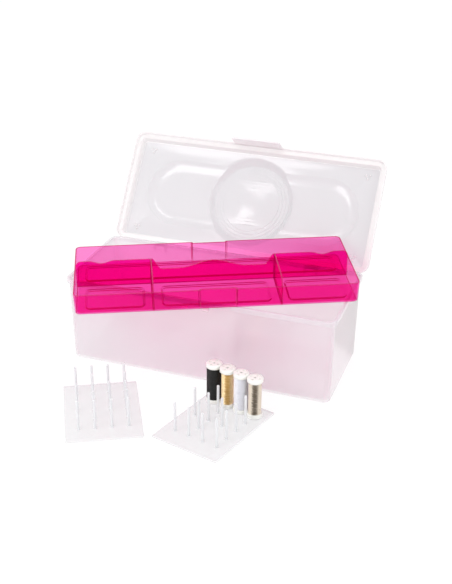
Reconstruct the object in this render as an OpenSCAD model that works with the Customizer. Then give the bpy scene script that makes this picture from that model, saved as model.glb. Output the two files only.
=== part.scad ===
// Thread spool storage box: a frosted box with a hinged lid, a tinted lift-out tray,
// two pin racks for spools, and four thread spools.
// Millimetres. Origin at the centre of the box's underside, X along the box, front is -Y, up is +Z.

/* [Box] */
// Outer length of the box at its rim
box_l = 360; // [310:5:435]
// Outer width of the box at its rim, front to back
box_w = 149; // [135:1:180]
// Height of the box from the floor to its rim
box_h = 118.5; // [98:0.5:145]
// How much shorter the box is at its base
base_shrink_l = 3; // [1:0.5:8]
// How much narrower the box is at its base
base_shrink_w = 5; // [1:0.5:8]
// Wall thickness of the box
box_wall = 1.6; // [1.2:0.1:2.4]
// Radius of the upright corners
corner_r = 8.5; // [6:0.5:14]
// Radius of the edge round the base
base_edge_r = 3; // [1.5:0.5:5]
// Height of the foot ring under the base
foot_h = 1; // [0.6:0.2:2]
// Width of the foot ring under the base
foot_w = 9; // [5:1:14]
// Diameter of the gate pad in the middle of the underside
pad_d = 14; // [8:1:24]

/* [Rim] */
// How far the rim stands out from the wall
rim_out = 3; // [2.6:0.1:5]
// How far the rim turns down
rim_drop = 6.7; // [5:0.1:9]
// Thickness of the rim
rim_t = 1.3; // [1:0.1:1.6]
// Width of one catch lug under the rim
catch_w = 8; // [5:1:12]
// Distance of each catch lug from the middle
catch_x = 14; // [9:1:22]

/* [Lid] */
// Angle by which the lid stands open
lid_open = 126.7; // [95:0.1:135]
// Thickness of the lid
lid_t = 1.6; // [1.2:0.1:2.2]
// Running gap between the lid's skirt and the rim
lid_gap = 0.6; // [0.4:0.1:1.2]
// How far the lid's skirt hangs over the rim
skirt_drop = 5; // [4:0.2:5.2]
// Width of the shoulder between the skirt and the raised panel
shoulder_w = 6.5; // [5:0.5:12]
// Height of the lid's top above the rim
lid_rise = 12; // [8:0.5:18]
// Radius of the edge round the lid's raised panel
lid_edge_r = 3; // [2:0.5:5]
// Width of the latch tab
tab_w = 70; // [40:1:90]
// Length of the latch tab below the rim
tab_l = 26; // [18:1:34]
// Thickness of the latch tab
tab_t = 1.8; // [1.4:0.1:2.4]

/* [Lid embossing] */
// Length of the long raised field
field_l = 315; // [260:1:320]
// Width of the long raised field
field_w = 100; // [86:1:106]
// Height of the long raised field
field_h = 4; // [2:0.5:6]
// Width of the field's coved side
field_cove = 15; // [6:0.5:18]
// Diameter of the round raised field at its foot
disc_d = 134; // [112:1:136]
// Height of the round raised field
disc_h = 10; // [8:0.5:12]
// Width of the round field's curved side
disc_cove = 11.5; // [6:0.5:14]
// Number of steps in the middle of the round field
dish_steps = 4; // [1:1:5]
// Width of each step
step_w = 4.6; // [3:0.1:5]
// Height of each step
step_h = 0.9; // [0.4:0.1:1.2]
// Rise of the shallow bowl inside the steps
dish_sag = 3; // [1:0.1:4]
// Diameter of each moulded pip in the lid's corners
pip_d = 3.4; // [2:0.1:4]
// Distance of the pips from the ends of the lid
pip_end = 26; // [22:1:34]
// Distance of the pips from the long sides of the lid
pip_side = 22; // [20:1:30]

/* [Hinge] */
// Distance of each hinge from the middle of the box
hinge_x = 110; // [60:1:130]
// Length of the hinge pin between its ears
hinge_pin_l = 14; // [8:1:20]
// Diameter of the hinge pin
hinge_pin_d = 3.4; // [2.6:0.1:3.8]
// Radial running gap between the pin and the lid's hook
hinge_gap = 0.08; // [0.04:0.01:0.1]
// Thickness of each hinge ear
ear_t = 2.5; // [2:0.1:4]
// Depth of the hinge axis below the rim
hinge_down = 5.5; // [5.2:0.1:6.5]
// Distance of the hinge axis behind the rim
hinge_back = 4.5; // [4.3:0.1:5.5]
// Outer diameter of the lid's hook
hook_d = 6.6; // [6:0.1:7]

/* [Tray] */
// Outer length of the tray at its rim
tray_l = 356; // [300:1:356]
// Outer width of the tray at its rim
tray_w = 141; // [112:1:142]
// Height of the tray's rim
tray_h = 27; // [22:0.5:34]
// How much smaller the tray's foot is on each side
tray_draft = 1.2; // [0.5:0.1:2]
// Wall thickness of the tray
tray_wall = 1.6; // [1.2:0.1:2.2]
// Radius of the tray's upright corners
tray_r = 7; // [4:0.5:12]
// Width of the notch in the middle of each long side
notch_w = 44; // [30:1:60]
// Depth of that notch
notch_in = 3; // [2:0.5:5]
// Distance of the long divider behind the tray's middle
divider_y = 5; // [-10:1:15]
// Height of the dividers above the tray's foot
divider_h = 36.5; // [30:0.5:44]
// Thickness of the dividers
divider_t = 1.5; // [1.2:0.1:2]
// Distance of each cross wall from the middle
cross_x = 80; // [65:1:95]
// Height of the low finger grips in the long divider
grip_h = 22; // [16:0.5:24]
// Height of the hump between the finger grips
hump_h = 31.5; // [26:0.5:36]
// Depth of the two shallow scoops in the long divider
scoop_d = 3.6; // [2:0.1:5]
// Distance of each scoop from the middle
scoop_x = 143; // [125:1:148]
// Height of the raised fields in the tray's floor
floor_step = 1.6; // [0.8:0.1:2.5]
// Distance of the raised fields from the walls
floor_margin = 12; // [8:0.5:14]

/* [Tray place] */
// Place of the tray's middle to the right of the box's middle
tray_x = 6.3; // [-5:0.1:15]
// Turn of the tray against the box
tray_turn = 24.8; // [20:0.1:28]
// Lean of the tray from the front rim up to the open lid
tray_lean = 1.4; // [1:0.1:4]

/* [Racks] */
// Length of a rack's plate across its columns
rack_w = 94; // [92:1:100]
// Length of a rack's plate along its rows
rack_l = 128; // [110:1:135]
// Thickness of a rack's plate
rack_t = 2.5; // [2:0.1:3.5]
// Radius of the plate's corners
rack_r = 1.5; // [1:0.5:6]
// Height of the pins' tips above the floor
pin_top = 42.4; // [36:0.2:50]
// Diameter of a pin
pin_d = 3.3; // [2.6:0.1:3.8]
// Distance between the pins' centres beyond the spools' own diameter
pin_spare = 0.4; // [0.3:0.1:1.5]
// Shift of the whole field of pins along the rows
pin_shift = 2.5; // [-4:0.5:4]

/* [Rack places] */
// Place of the left rack's middle along the box
left_rack_x = -82.9; // [-100:0.1:-81]
// Place of the left rack's middle in front of the box's middle
left_rack_y = -185.1; // [-200:0.1:-184]
// Turn of the left rack
left_rack_turn = 27.8; // [22:0.1:32]
// Place of the right rack's middle along the box
right_rack_x = 58.5; // [57:0.1:75]
// Place of the right rack's middle in front of the box's middle
right_rack_y = -166.7; // [-180:0.1:-165]
// Turn of the right rack
right_rack_turn = -15.4; // [-20:0.1:-12]

/* [Spools] */
// Diameter of a spool's ends
spool_d = 20; // [16:0.1:21]
// Height of a spool
spool_h = 55; // [50:0.5:66]
// Thickness of a spool's foot
spool_foot = 5.5; // [4:0.5:7]
// Thickness of a spool's cap
spool_cap = 5.5; // [4:0.5:7]
// Outer diameter of the spool's tube
tube_d = 9; // [7.5:0.1:10]
// Diameter of the hole that the pin goes into
tube_bore = 4.8; // [4.4:0.1:5.6]
// Diameter of the round pockets in the cap
pocket_d = 3.4; // [2:0.1:3.8]
// Number of pockets in the cap
pocket_n = 4; // [3:1:5]
// Depth of the black winding below the edge of the spool's ends
black_in = 0.6; // [0.3:0.1:3]
// Depth of the gold winding below the edge of the spool's ends
gold_in = 2.2; // [0.3:0.1:3]
// Depth of the white winding below the edge of the spool's ends
white_in = 1; // [0.3:0.1:3]
// Depth of the silver winding below the edge of the spool's ends
silver_in = 1.8; // [0.3:0.1:3]

/* [Hidden] */

$fn = 48;
cut = 0.5;          // how far a cutter runs past what it cuts
film = 0.02;        // thickness of the outlines that a drafted block is drawn from
seat = 0.3;         // gap between pieces that rest on each other but are not joined
lap = 0.8;          // overlap of joined pieces of one moulding

base_l = box_l - base_shrink_l;
base_w = box_w - base_shrink_w;
rim_l = box_l + 2 * rim_out;
rim_w = box_w + 2 * rim_out;
rim_r = corner_r + rim_out;
rim_foot = box_h - rim_drop;
catch_h = 3;
catch_down = 2.5;
catch_set = 0.1;
catch_z = rim_foot - catch_down - catch_h;

skirt_out = lid_gap + lid_t;
lid_l = rim_l + 2 * skirt_out;
lid_w = rim_w + 2 * skirt_out;
lid_r = rim_r + skirt_out;
skirt_foot = box_h - skirt_drop;
shoulder_foot = box_h + seat;
panel_top = box_h + lid_rise;
rise_l = lid_l - 2 * shoulder_w;
rise_w = lid_w - 2 * shoulder_w;
rise_r = lid_r - shoulder_w;
rise_draft = 1.2;
tab_stand = 0.6;
tab_foot = box_h - tab_l;
tab_y = -lid_w / 2 - tab_stand;
tab_r = 2;
tab_bead_r = 0.75 * tab_t;
ridge_h = 1.6;

dish_d = disc_d - 2 * disc_cove - 2 * lap;
dish_floor = disc_h - dish_steps * step_h;
dish_r = dish_d / 2 - dish_steps * step_w;
dish_ball = (dish_r * dish_r + dish_sag * dish_sag) / (2 * dish_sag);
gate_r = 3;
pip_gap = 5.6;
pip_h = 0.8;
// The sides' profiles, as [share of the side's width, share of its height]
FIELD_SIDE = [[0, 0], [0.2, 0.45], [0.55, 0.8], [1, 1]];
DISC_SIDE = [[0, 0], [0.2, 0.08], [0.45, 0.5], [0.75, 0.9], [1, 1]];

axis_y = rim_w / 2 + hinge_back;
axis_z = box_h - hinge_down;
ear_r = 2.3;
ear_x = hinge_pin_l / 2;
ear_drop = 8;
ear_play = 0.3;
hook_l = hinge_pin_l - 2 * ear_play;
heel_w = 2.2;
heel_reach = hinge_back - seat;
heel_foot = hook_d / 2 - lap;

tray_foot_l = tray_l - 2 * tray_draft;
tray_foot_w = tray_w - 2 * tray_draft;
tray_edge_r = 2;
// The tray is pushed back until the lower edge of its rear corner meets the open lid's panel.
lid_out = sin(lid_open);
lid_back = -cos(lid_open);
corner_y = (tray_foot_l / 2 - tray_r) * sin(tray_turn) + (tray_foot_w / 2 - tray_r) * cos(tray_turn)
    + tray_r - tray_edge_r * (lid_out + lid_back - 1) / lid_out;
panel_deep = hinge_down + lid_rise - lid_t - seat;
corner_up = hinge_down + seat + rim_w / 2 * tan(tray_lean);
meet_y = (axis_y * lid_out + panel_deep + lid_back * corner_up) / (lid_out - lid_back * tan(tray_lean));
tray_y = meet_y - corner_y;
hump_half = 44;
scoop_half = 16;
step_r = 6;
crest_in = 1;
end_drop = 1;
field_in = 1;

pin_pitch = spool_d + pin_spare;
columns = 4;
rows = 5;
pin_tip = 0.7;
pin_collar_h = 1.2;
pin_play = 0.15;
pin_collar = tube_bore / 2 - pin_d / 2 - pin_play;

winding_h = spool_h - spool_foot - spool_cap;
winding_play = 0.1;
end_bevel = 0.7;
plug_h = 4;
pocket_share = 0.31;
pocket_ring = pocket_share * spool_d;
pocket_deep = 3;

FROSTED = [0.93, 0.92, 0.94];
TINTED = [0.93, 0.05, 0.5];
MILKY = [0.9, 0.89, 0.91];
WHITE = [0.96, 0.95, 0.93];
BLACK_THREAD = [0.03, 0.03, 0.03];
GOLD_THREAD = [0.72, 0.5, 0.12];
WHITE_THREAD = [0.82, 0.82, 0.88];
SILVER_THREAD = [0.62, 0.58, 0.5];

module rounded(l, w, r) {
    square([l - 2 * r, w], center = true);
    square([l, w - 2 * r], center = true);
    for (sx = [-1, 1], sy = [-1, 1])
        translate([sx * (l / 2 - r), sy * (w / 2 - r)])
            circle(r);
}

module slab(l, w, r, z, h) {
    translate([0, 0, z])
        linear_extrude(h)
            rounded(l, w, r);
}

// A block with upright rounded corners that widens from its foot to its top, its lower edge rounded.
module tub_block(foot_l, foot_w, top_l, top_w, r, edge, h) {
    hull() {
        for (a = [0 : 22.5 : 90]) {
            inset = edge * (1 - sin(a));
            slab(foot_l - 2 * inset, foot_w - 2 * inset, r - inset, edge * (1 - cos(a)), film);
        }
        slab(top_l, top_w, r, h - film, film);
    }
}

// The same block upside down, with its rounded edge on top.
module lid_block(l, w, draft, r, edge, z, h) {
    translate([0, 0, z + h])
        mirror([0, 0, 1])
            tub_block(l - 2 * draft, w - 2 * draft, l, w, r, edge, h);
}

// A round field whose side follows a profile from its foot to its top.
module round_field(d, cove, h, side) {
    rotate_extrude($fn = 96)
        polygon(concat([[0, 0]], [for (p = side) [d / 2 - p[0] * cove, p[1] * h]], [[0, h]]));
}

// A long field with round ends and the same kind of side.
module long_field(l, w, cove, h, side) {
    n = len(side) - 1;
    for (end = [-1, 1])
        translate([end * (l - w) / 2, 0, 0])
            round_field(w, cove, h, side);
    rotate([90, 0, 90])
        linear_extrude(l - w, center = true)
            polygon(concat([for (p = side) [p[0] * cove - w / 2, p[1] * h]],
                [for (i = [0 : n]) [w / 2 - side[n - i][0] * cove, side[n - i][1] * h]]));
}

// The frosted box is one moulding: drafted walls, turned-down rim, catch lugs and hinge ears.
module box_shell() {
    floor_top = foot_h + box_wall;
    difference() {
        tub_block(base_l, base_w, box_l, box_w, corner_r, base_edge_r, box_h);
        translate([0, 0, floor_top])
            tub_block(base_l - 2 * box_wall, base_w - 2 * box_wall,
                box_l - 2 * box_wall, box_w - 2 * box_wall,
                corner_r - box_wall, max(base_edge_r - box_wall, lap), box_h - floor_top + film);
        difference() {
            slab(base_l - 2 * foot_w, base_w - 2 * foot_w, corner_r, -cut, foot_h + cut);
            cylinder(h = foot_h, d = pad_d);
        }
    }
}

module box_rim() {
    difference() {
        slab(rim_l, rim_w, rim_r, rim_foot, rim_drop);
        slab(rim_l - 2 * rim_t, rim_w - 2 * rim_t, rim_r - rim_t, rim_foot - cut, rim_drop + cut - rim_t);
        slab(box_l - box_wall, box_w - box_wall, corner_r - box_wall / 2, rim_foot - cut, rim_drop + 2 * cut);
    }
}

module catch_lug() {
    translate([0, catch_set - rim_w / 2, catch_z])
        rotate([90, 0, 90])
            linear_extrude(catch_w, center = true)
                polygon([[0, 0], [rim_out + box_wall, 0], [rim_out + box_wall, catch_h],
                    [lap, catch_h], [0, catch_h - lap]]);
}

module hinge_ear() {
    wall_y = box_w / 2 - box_wall;
    rotate([90, 0, 90])
        linear_extrude(ear_t) {
            translate([axis_y, axis_z])
                circle(ear_r);
            polygon([[wall_y, rim_foot + lap], [wall_y, axis_z - ear_drop], [axis_y, axis_z - ear_r],
                [axis_y, axis_z], [rim_w / 2 - lap, axis_z], [rim_w / 2 - lap, rim_foot + lap]]);
        }
}

module hinge_pins() {
    for (side = [-1, 1])
        translate([side * hinge_x, 0, 0]) {
            translate([ear_x, 0, 0])
                hinge_ear();
            translate([-ear_x - ear_t, 0, 0])
                hinge_ear();
            translate([-ear_x - lap, axis_y, axis_z])
                rotate([0, 90, 0])
                    cylinder(h = hinge_pin_l + 2 * lap, d = hinge_pin_d);
        }
}

module box_body() {
    color(FROSTED) {
        box_shell();
        box_rim();
        hinge_pins();
        for (side = [-1, 1])
            translate([side * catch_x, 0, 0])
                catch_lug();
    }
}

// The lid is drawn shut, then swung open about the hinge pins.
module lid_shell() {
    difference() {
        union() {
            slab(lid_l, lid_w, lid_r, skirt_foot, shoulder_foot - skirt_foot + lid_t / 2);
            slab(lid_l - lid_t / 2, lid_w - lid_t / 2, lid_r - lid_t / 4, shoulder_foot, lid_t);
            lid_block(rise_l, rise_w, rise_draft, rise_r, lid_edge_r, shoulder_foot, panel_top - shoulder_foot);
            translate([0, 0, panel_top - film])
                long_field(field_l, field_w, field_cove, field_h, FIELD_SIDE);
            translate([0, 0, panel_top - film])
                round_field(disc_d, disc_cove, disc_h, DISC_SIDE);
        }
        slab(lid_l - 2 * lid_t, lid_w - 2 * lid_t, lid_r - lid_t,
            skirt_foot - cut, shoulder_foot - skirt_foot + cut);
        lid_block(rise_l - 2 * lid_t, rise_w - 2 * lid_t, rise_draft, rise_r - lid_t,
            max(lid_edge_r - lid_t, lap), shoulder_foot - cut, panel_top - lid_t - shoulder_foot + cut);
        translate([0, 0, panel_top - lid_t - film])
            long_field(field_l - 2 * lid_t, field_w - 2 * lid_t, field_cove, field_h, FIELD_SIDE);
        translate([0, 0, panel_top - lid_t - film])
            round_field(disc_d - 2 * lid_t, disc_cove, disc_h, DISC_SIDE);
        translate([0, 0, panel_top])
            cylinder(h = disc_h + cut, d = dish_d);
    }
}

// The round field's middle steps down like a stair and ends in a shallow bowl.
module lid_dish() {
    for (i = [1 : dish_steps])
        translate([0, 0, panel_top + disc_h - i * step_h - lid_t])
            difference() {
                cylinder(h = lid_t, r = dish_d / 2 - (i - 1) * step_w + lap);
                translate([0, 0, -cut])
                    cylinder(h = lid_t + 2 * cut, r = dish_d / 2 - i * step_w);
            }
    translate([0, 0, panel_top + dish_floor])
        intersection() {
            translate([0, 0, dish_ball - dish_sag])
                difference() {
                    sphere(r = dish_ball + lid_t);
                    sphere(r = dish_ball);
                }
            translate([0, 0, -dish_sag - 2 * lid_t])
                difference() {
                    cylinder(h = dish_sag + 2 * lid_t, r = dish_r + lap / 2);
                    translate([0, 0, -cut])
                        cylinder(h = dish_sag + 2 * lid_t + 2 * cut, r = gate_r);
                }
        }
    translate([0, 0, panel_top + dish_floor - dish_sag - lid_t])
        cylinder(h = lid_t, r = gate_r + lap / 2);
}

module lid_pips() {
    for (sx = [-1, 1], sy = [-1, 1])
        translate([sx * (lid_l / 2 - pip_end), sy * (lid_w / 2 - pip_side), panel_top - lid_t - pip_h])
            for (a = [90 : 120 : 330])
                rotate([0, 0, a])
                    translate([pip_gap / sqrt(3), 0, 0])
                        cylinder(h = pip_h + lap, d1 = pip_d - pip_h, d2 = pip_d);
}

// The latch tab hangs from the front of the skirt and springs over the catch lugs.
module latch_tab() {
    tab_top = shoulder_foot + lid_t - lap;
    translate([0, tab_y + tab_t, 0])
        rotate([90, 0, 0])
            linear_extrude(tab_t) {
                translate([-tab_w / 2 + tab_r, tab_foot])
                    square([tab_w - 2 * tab_r, tab_top - tab_foot]);
                translate([-tab_w / 2, tab_foot + tab_r])
                    square([tab_w, tab_top - tab_foot - tab_r]);
                for (side = [-1, 1])
                    translate([side * (tab_w / 2 - tab_r), tab_foot + tab_r])
                        circle(tab_r);
            }
    translate([tab_r - tab_w / 2, tab_y, tab_foot + tab_t])
        rotate([0, 90, 0])
            cylinder(h = tab_w - 2 * tab_r, r = tab_bead_r);
    for (side = [-1, 1])
        translate([side * catch_x, tab_y + tab_t - lap, catch_z - ridge_h - seat])
            rotate([90, 0, 90])
                linear_extrude(catch_w, center = true)
                    polygon([[0, 0], [lap + tab_stand, ridge_h - lap], [lap + tab_stand, ridge_h], [0, ridge_h]]);
}

module hinge_hooks() {
    for (side = [-1, 1])
        translate([side * hinge_x - hook_l / 2, 0, 0])
            difference() {
                union() {
                    translate([0, axis_y, axis_z])
                        rotate([0, 90, 0])
                            cylinder(h = hook_l, d = hook_d);
                    translate([0, lid_w / 2 - lid_t, skirt_foot])
                        cube([hook_l, axis_y - lid_w / 2 + lid_t, axis_z + hook_d / 2 - skirt_foot]);
                    translate([0, axis_y, axis_z])
                        rotate([180 + lid_open, 0, 0])
                            translate([lap, heel_foot, -heel_w / 2])
                                cube([hook_l - 2 * lap, heel_reach - heel_foot, heel_w]);
                }
                translate([-cut, axis_y, axis_z])
                    rotate([0, 90, 0])
                        cylinder(h = hook_l + 2 * cut, d = hinge_pin_d + 2 * hinge_gap);
            }
}

module ear_notches() {
    for (side = [-1, 1], end = [-1, 1])
        translate([side * hinge_x + end * (ear_x + ear_t / 2) - ear_t / 2 - 2 * ear_play,
                rim_w / 2 + lid_gap / 2, skirt_foot - cut])
            cube([ear_t + 4 * ear_play, skirt_out + lid_t, ear_r + cut]);
}

module lid() {
    color(FROSTED)
        translate([0, axis_y, axis_z])
            rotate([-lid_open, 0, 0])
                translate([0, -axis_y, -axis_z]) {
                    difference() {
                        lid_shell();
                        ear_notches();
                    }
                    lid_dish();
                    lid_pips();
                    latch_tab();
                    hinge_hooks();
                }
}

// The tray is drawn level about the middle of its foot, then laid over the rim.
module tray_notches(grow) {
    for (side = [-1, 1])
        translate([-notch_w / 2 - grow, side * tray_w / 2 - notch_in - grow, -cut])
            cube([notch_w + 2 * grow, 2 * (notch_in + grow), divider_h + 2 * cut]);
}

module tray_bowl() {
    difference() {
        tub_block(tray_foot_l, tray_foot_w, tray_l, tray_w, tray_r, tray_edge_r, tray_h);
        difference() {
            translate([0, 0, tray_wall])
                tub_block(tray_foot_l - 2 * tray_wall, tray_foot_w - 2 * tray_wall,
                    tray_l - 2 * tray_wall, tray_w - 2 * tray_wall,
                    tray_r - tray_wall, lap, tray_h - tray_wall + film);
            tray_notches(tray_wall);
        }
        tray_notches(0);
    }
}

// The long divider's outline: finger grips beside a hump, and a scoop over each end compartment.
module divider_outline() {
    half = tray_l / 2 - tray_draft - tray_wall / 2;
    crest = cross_x - crest_in;
    hump_r = (hump_half * hump_half + pow(hump_h - grip_h, 2)) / (2 * (hump_h - grip_h));
    scoop_r = (scoop_half * scoop_half + scoop_d * scoop_d) / (2 * scoop_d);
    translate([-half, tray_wall / 2])
        square([2 * half, grip_h - tray_wall / 2]);
    intersection() {
        translate([0, hump_h - hump_r])
            circle(hump_r, $fn = 180);
        translate([-hump_half, tray_wall])
            square([2 * hump_half, divider_h]);
    }
    for (side = [-1, 1])
        difference() {
            union() {
                translate([side * (crest + half - step_r) / 2, (tray_wall + divider_h) / 2])
                    square([half - step_r - crest, divider_h - tray_wall], center = true);
                polygon([[side * crest, tray_wall], [side * crest, divider_h],
                    [side * (crest - step_r / 2), divider_h - step_r / 4],
                    [side * (crest - step_r), divider_h - step_r],
                    [side * (crest - 2 * step_r), grip_h - lap], [side * (crest - 2 * step_r), tray_wall]]);
                polygon([[side * (half - step_r), tray_wall], [side * (half - step_r), divider_h],
                    [side * (half - step_r / 2), divider_h - step_r / 2],
                    [side * half, tray_h - end_drop], [side * half, tray_wall]]);
            }
            translate([side * scoop_x, divider_h - scoop_d + scoop_r])
                circle(scoop_r, $fn = 96);
        }
}

module tray_dividers() {
    translate([0, divider_y + divider_t / 2, 0])
        rotate([90, 0, 0])
            linear_extrude(divider_t)
                divider_outline();
    for (side = [-1, 1])
        translate([side * cross_x - divider_t / 2, tray_wall / 2 + tray_draft - tray_w / 2, tray_wall / 2])
            cube([divider_t, divider_y + tray_w / 2 - tray_draft - tray_wall / 2, divider_h - tray_wall / 2]);
}

// Each compartment's floor has a raised field, hollow underneath.
module floor_fields(shrink, z, h) {
    margin = 2 * (floor_margin - field_in);
    end_l = tray_foot_l / 2 - cross_x - margin;
    front_w = tray_foot_w / 2 + divider_y - margin;
    rear_w = tray_foot_w / 2 - divider_y - margin;
    front_y = (divider_y - tray_foot_w / 2) / 2 - field_in;
    for (side = [-1, 1])
        translate([side * ((tray_foot_l / 2 + cross_x) / 2 - field_in), front_y, 0])
            slab(end_l - shrink, front_w - shrink, tray_r - shrink / 2, z, h);
    translate([0, front_y, 0])
        slab(2 * cross_x - margin - shrink, front_w - shrink, tray_r - shrink / 2, z, h);
    translate([0, (divider_y + tray_foot_w / 2) / 2 + field_in, 0])
        slab(tray_foot_l - margin - shrink, rear_w - shrink, tray_r - shrink / 2, z, h);
}

module tray() {
    color(TINTED)
        translate([0, -rim_w / 2, box_h])
            rotate([tray_lean, 0, 0])
                translate([tray_x, tray_y + rim_w / 2, seat])
                    rotate([0, 0, tray_turn])
                        difference() {
                            union() {
                                tray_bowl();
                                tray_dividers();
                                floor_fields(0, tray_wall - lap, floor_step + lap);
                            }
                            floor_fields(2 * tray_wall, -cut, floor_step + cut);
                        }
}

// A rack is a flat plate with slim pins moulded on it; every second column has pins in all rows.
module rack() {
    color(MILKY) {
        slab(rack_w, rack_l, rack_r, 0, rack_t);
        for (c = [0 : columns - 1], r = [0 : rows - 1])
            if (r % 2 == 0 || c % 2 == 1)
                translate([(c - (columns - 1) / 2) * pin_pitch,
                        (r - (rows - 1) / 2) * pin_pitch + pin_shift, 0]) {
                    translate([0, 0, lap])
                        cylinder(h = pin_top - lap - pin_tip, d = pin_d);
                    translate([0, 0, pin_top - pin_tip])
                        cylinder(h = pin_tip, d1 = pin_d, d2 = pin_d - 2 * pin_tip);
                    translate([0, 0, rack_t])
                        cylinder(h = pin_collar_h, d1 = pin_d + 2 * pin_collar, d2 = pin_d);
                }
    }
}

module rack_left() {
    translate([left_rack_x, left_rack_y, 0])
        rotate([0, 0, left_rack_turn])
            rack();
}

module rack_right() {
    translate([right_rack_x, right_rack_y, 0])
        rotate([0, 0, right_rack_turn])
            rack();
}

// Places a spool over a pin of the right rack's last row.
module on_pin(column) {
    translate([right_rack_x, right_rack_y, 0])
        rotate([0, 0, right_rack_turn])
            translate([(column - (columns - 1) / 2) * pin_pitch,
                    (rows - 1) / 2 * pin_pitch + pin_shift, rack_t + seat])
                children();
}

module spool_end(h) {
    cylinder(h = end_bevel, d1 = spool_d - 2 * end_bevel, d2 = spool_d);
    translate([0, 0, end_bevel])
        cylinder(h = h - 2 * end_bevel, d = spool_d);
    translate([0, 0, h - end_bevel])
        cylinder(h = end_bevel, d1 = spool_d, d2 = spool_d - 2 * end_bevel);
}

module bobbin() {
    color(WHITE)
        difference() {
            union() {
                spool_end(spool_foot);
                cylinder(h = spool_h - spool_cap, d = tube_d);
            }
            translate([0, 0, -cut])
                cylinder(h = spool_h, d = tube_bore);
            translate([0, 0, -cut])
                difference() {
                    cylinder(h = spool_foot - 2 * end_bevel + cut, d = spool_d - 4 * end_bevel);
                    cylinder(h = spool_foot + cut, d = tube_d);
                }
        }
}

module winding(d, tint) {
    color(tint)
        translate([0, 0, spool_foot])
            difference() {
                cylinder(h = winding_h, d = d);
                translate([0, 0, -cut])
                    cylinder(h = winding_h + 2 * cut, d = tube_d + 2 * winding_play);
            }
}

module spool_top() {
    color(WHITE)
        translate([0, 0, spool_h - spool_cap])
            difference() {
                union() {
                    spool_end(spool_cap);
                    translate([0, 0, -plug_h])
                        cylinder(h = plug_h + end_bevel, d = tube_bore - 2 * winding_play);
                }
                translate([0, 0, -plug_h - cut])
                    cylinder(h = plug_h + spool_cap + 2 * cut, d = tube_bore - 2 * lap);
                for (a = [0 : 360 / pocket_n : 359])
                    rotate([0, 0, a])
                        translate([pocket_ring, 0, spool_cap - pocket_deep])
                            cylinder(h = pocket_deep + cut, d = pocket_d);
            }
}

module bobbin_black() {
    on_pin(0) bobbin();
}

module thread_black() {
    on_pin(0) winding(spool_d - 2 * black_in, BLACK_THREAD);
}

module cap_black() {
    on_pin(0) spool_top();
}

module bobbin_gold() {
    on_pin(1) bobbin();
}

module thread_gold() {
    on_pin(1) winding(spool_d - 2 * gold_in, GOLD_THREAD);
}

module cap_gold() {
    on_pin(1) spool_top();
}

module bobbin_white() {
    on_pin(2) bobbin();
}

module thread_white() {
    on_pin(2) winding(spool_d - 2 * white_in, WHITE_THREAD);
}

module cap_white() {
    on_pin(2) spool_top();
}

module bobbin_silver() {
    on_pin(3) bobbin();
}

module thread_silver() {
    on_pin(3) winding(spool_d - 2 * silver_in, SILVER_THREAD);
}

module cap_silver() {
    on_pin(3) spool_top();
}

box_body();
lid();
tray();
rack_left();
rack_right();
bobbin_black();
thread_black();
cap_black();
bobbin_gold();
thread_gold();
cap_gold();
bobbin_white();
thread_white();
cap_white();
bobbin_silver();
thread_silver();
cap_silver();
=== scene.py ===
import bpy
import bmesh
import math
from mathutils import Matrix, Vector
from mathutils.geometry import delaunay_2d_cdt


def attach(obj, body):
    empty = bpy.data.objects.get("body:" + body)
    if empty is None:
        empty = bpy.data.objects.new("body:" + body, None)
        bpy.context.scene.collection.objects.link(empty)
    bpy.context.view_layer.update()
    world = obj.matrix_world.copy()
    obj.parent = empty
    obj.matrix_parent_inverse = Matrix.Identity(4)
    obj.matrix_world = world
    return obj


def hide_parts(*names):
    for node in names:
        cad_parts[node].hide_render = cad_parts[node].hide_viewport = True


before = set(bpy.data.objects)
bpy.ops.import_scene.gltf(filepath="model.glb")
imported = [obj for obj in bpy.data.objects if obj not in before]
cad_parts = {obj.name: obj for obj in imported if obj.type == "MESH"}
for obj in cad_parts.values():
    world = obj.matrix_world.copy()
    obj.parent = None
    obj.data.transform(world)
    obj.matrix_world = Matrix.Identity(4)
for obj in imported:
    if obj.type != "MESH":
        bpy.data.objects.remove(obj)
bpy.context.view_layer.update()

# The studio
# A white table that runs out into a white surround. Soft lamps stand to the front left, overhead,
# to the left and to the right, so that the clear plastic gets soft glints and a soft shadow.
WHITE = (1, 1, 1, 1)
collection = bpy.context.scene.collection


class Socket:
    """An output socket of a node. Arithmetic on it adds Math nodes to its tree."""

    def __init__(self, tree, socket):
        self.tree = tree
        self.socket = socket

    def maths(self, operation, first, second):
        return self.tree.node("ShaderNodeMath", {"operation": operation}, {0: first, 1: second})

    def __add__(self, other):
        return self.maths("ADD", self, other)

    def __radd__(self, other):
        return self.maths("ADD", other, self)

    def __sub__(self, other):
        return self.maths("SUBTRACT", self, other)

    def __rsub__(self, other):
        return self.maths("SUBTRACT", other, self)

    def __mul__(self, other):
        return self.maths("MULTIPLY", self, other)

    def __rmul__(self, other):
        return self.maths("MULTIPLY", other, self)

    def __pow__(self, power):
        return self.maths("POWER", self, power)


class Nodes:
    """A node tree that is filled one node at a time."""

    def __init__(self, tree):
        self.tree = tree
        self.tree.nodes.clear()

    def node(self, kind, settings, sockets, output=0):
        """Adds a node: its settings come first, then the values and links of its sockets."""
        made = self.tree.nodes.new(kind)
        for setting, value in settings.items():
            setattr(made, setting, value)
        for key, value in sockets.items():
            if isinstance(value, Socket):
                self.tree.links.new(value.socket, made.inputs[key])
            else:
                made.inputs[key].default_value = value
        return Socket(self, made.outputs[output]) if made.outputs else None

    def seen(self):
        """1 for what the camera sees by itself, in a reflection or through plastic."""
        kinds = ("Is Camera Ray", "Is Glossy Ray", "Is Transmission Ray")
        plain, mirrored, through = [self.node("ShaderNodeLightPath", {}, {}, kind) for kind in kinds]
        return plain + mirrored + through


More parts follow.
